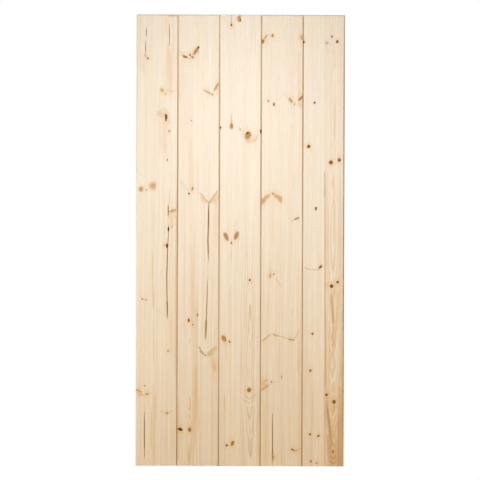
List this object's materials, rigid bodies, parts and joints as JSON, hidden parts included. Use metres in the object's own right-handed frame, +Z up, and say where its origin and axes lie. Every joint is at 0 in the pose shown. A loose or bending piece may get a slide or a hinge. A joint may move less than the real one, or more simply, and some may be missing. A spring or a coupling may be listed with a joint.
{
  "type": "sliding door leaf",
  "caption": "Flat rectangular leaf of a sliding door in knotty untreated pine: upright tongue-and-groove boards with V-joints, ledges screwed across the back, guide groove in the bottom edge.",
  "frame": {"origin": "middle of the leaf's width and thickness, at the bottom edge", "axes": "+Z up along the boards, +X to the right seen from the front, front face towards -Y"},
  "size_m": [0.9424, 0.044, 2.04],
  "materials": {
    "pine_boards": "planed, untreated",
    "pine_ledges": "planed, untreated",
    "zinc_screws": "yellow zinc plated"
  },
  "bodies": {
    "root": {"board_1_left_stave": "pine_boards", "board_1_right_stave": "pine_boards", "board_2_left_stave": "pine_boards", "board_2_right_stave": "pine_boards", "board_3_left_stave": "pine_boards", "board_3_right_stave": "pine_boards", "board_4_left_stave": "pine_boards", "board_4_right_stave": "pine_boards", "board_5_left_stave": "pine_boards", "board_5_right_stave": "pine_boards", "top_ledge": "pine_ledges", "middle_ledge": "pine_ledges", "bottom_ledge": "pine_ledges", "ledge_screws": "zinc_screws"}
  },
  "joints": []
}
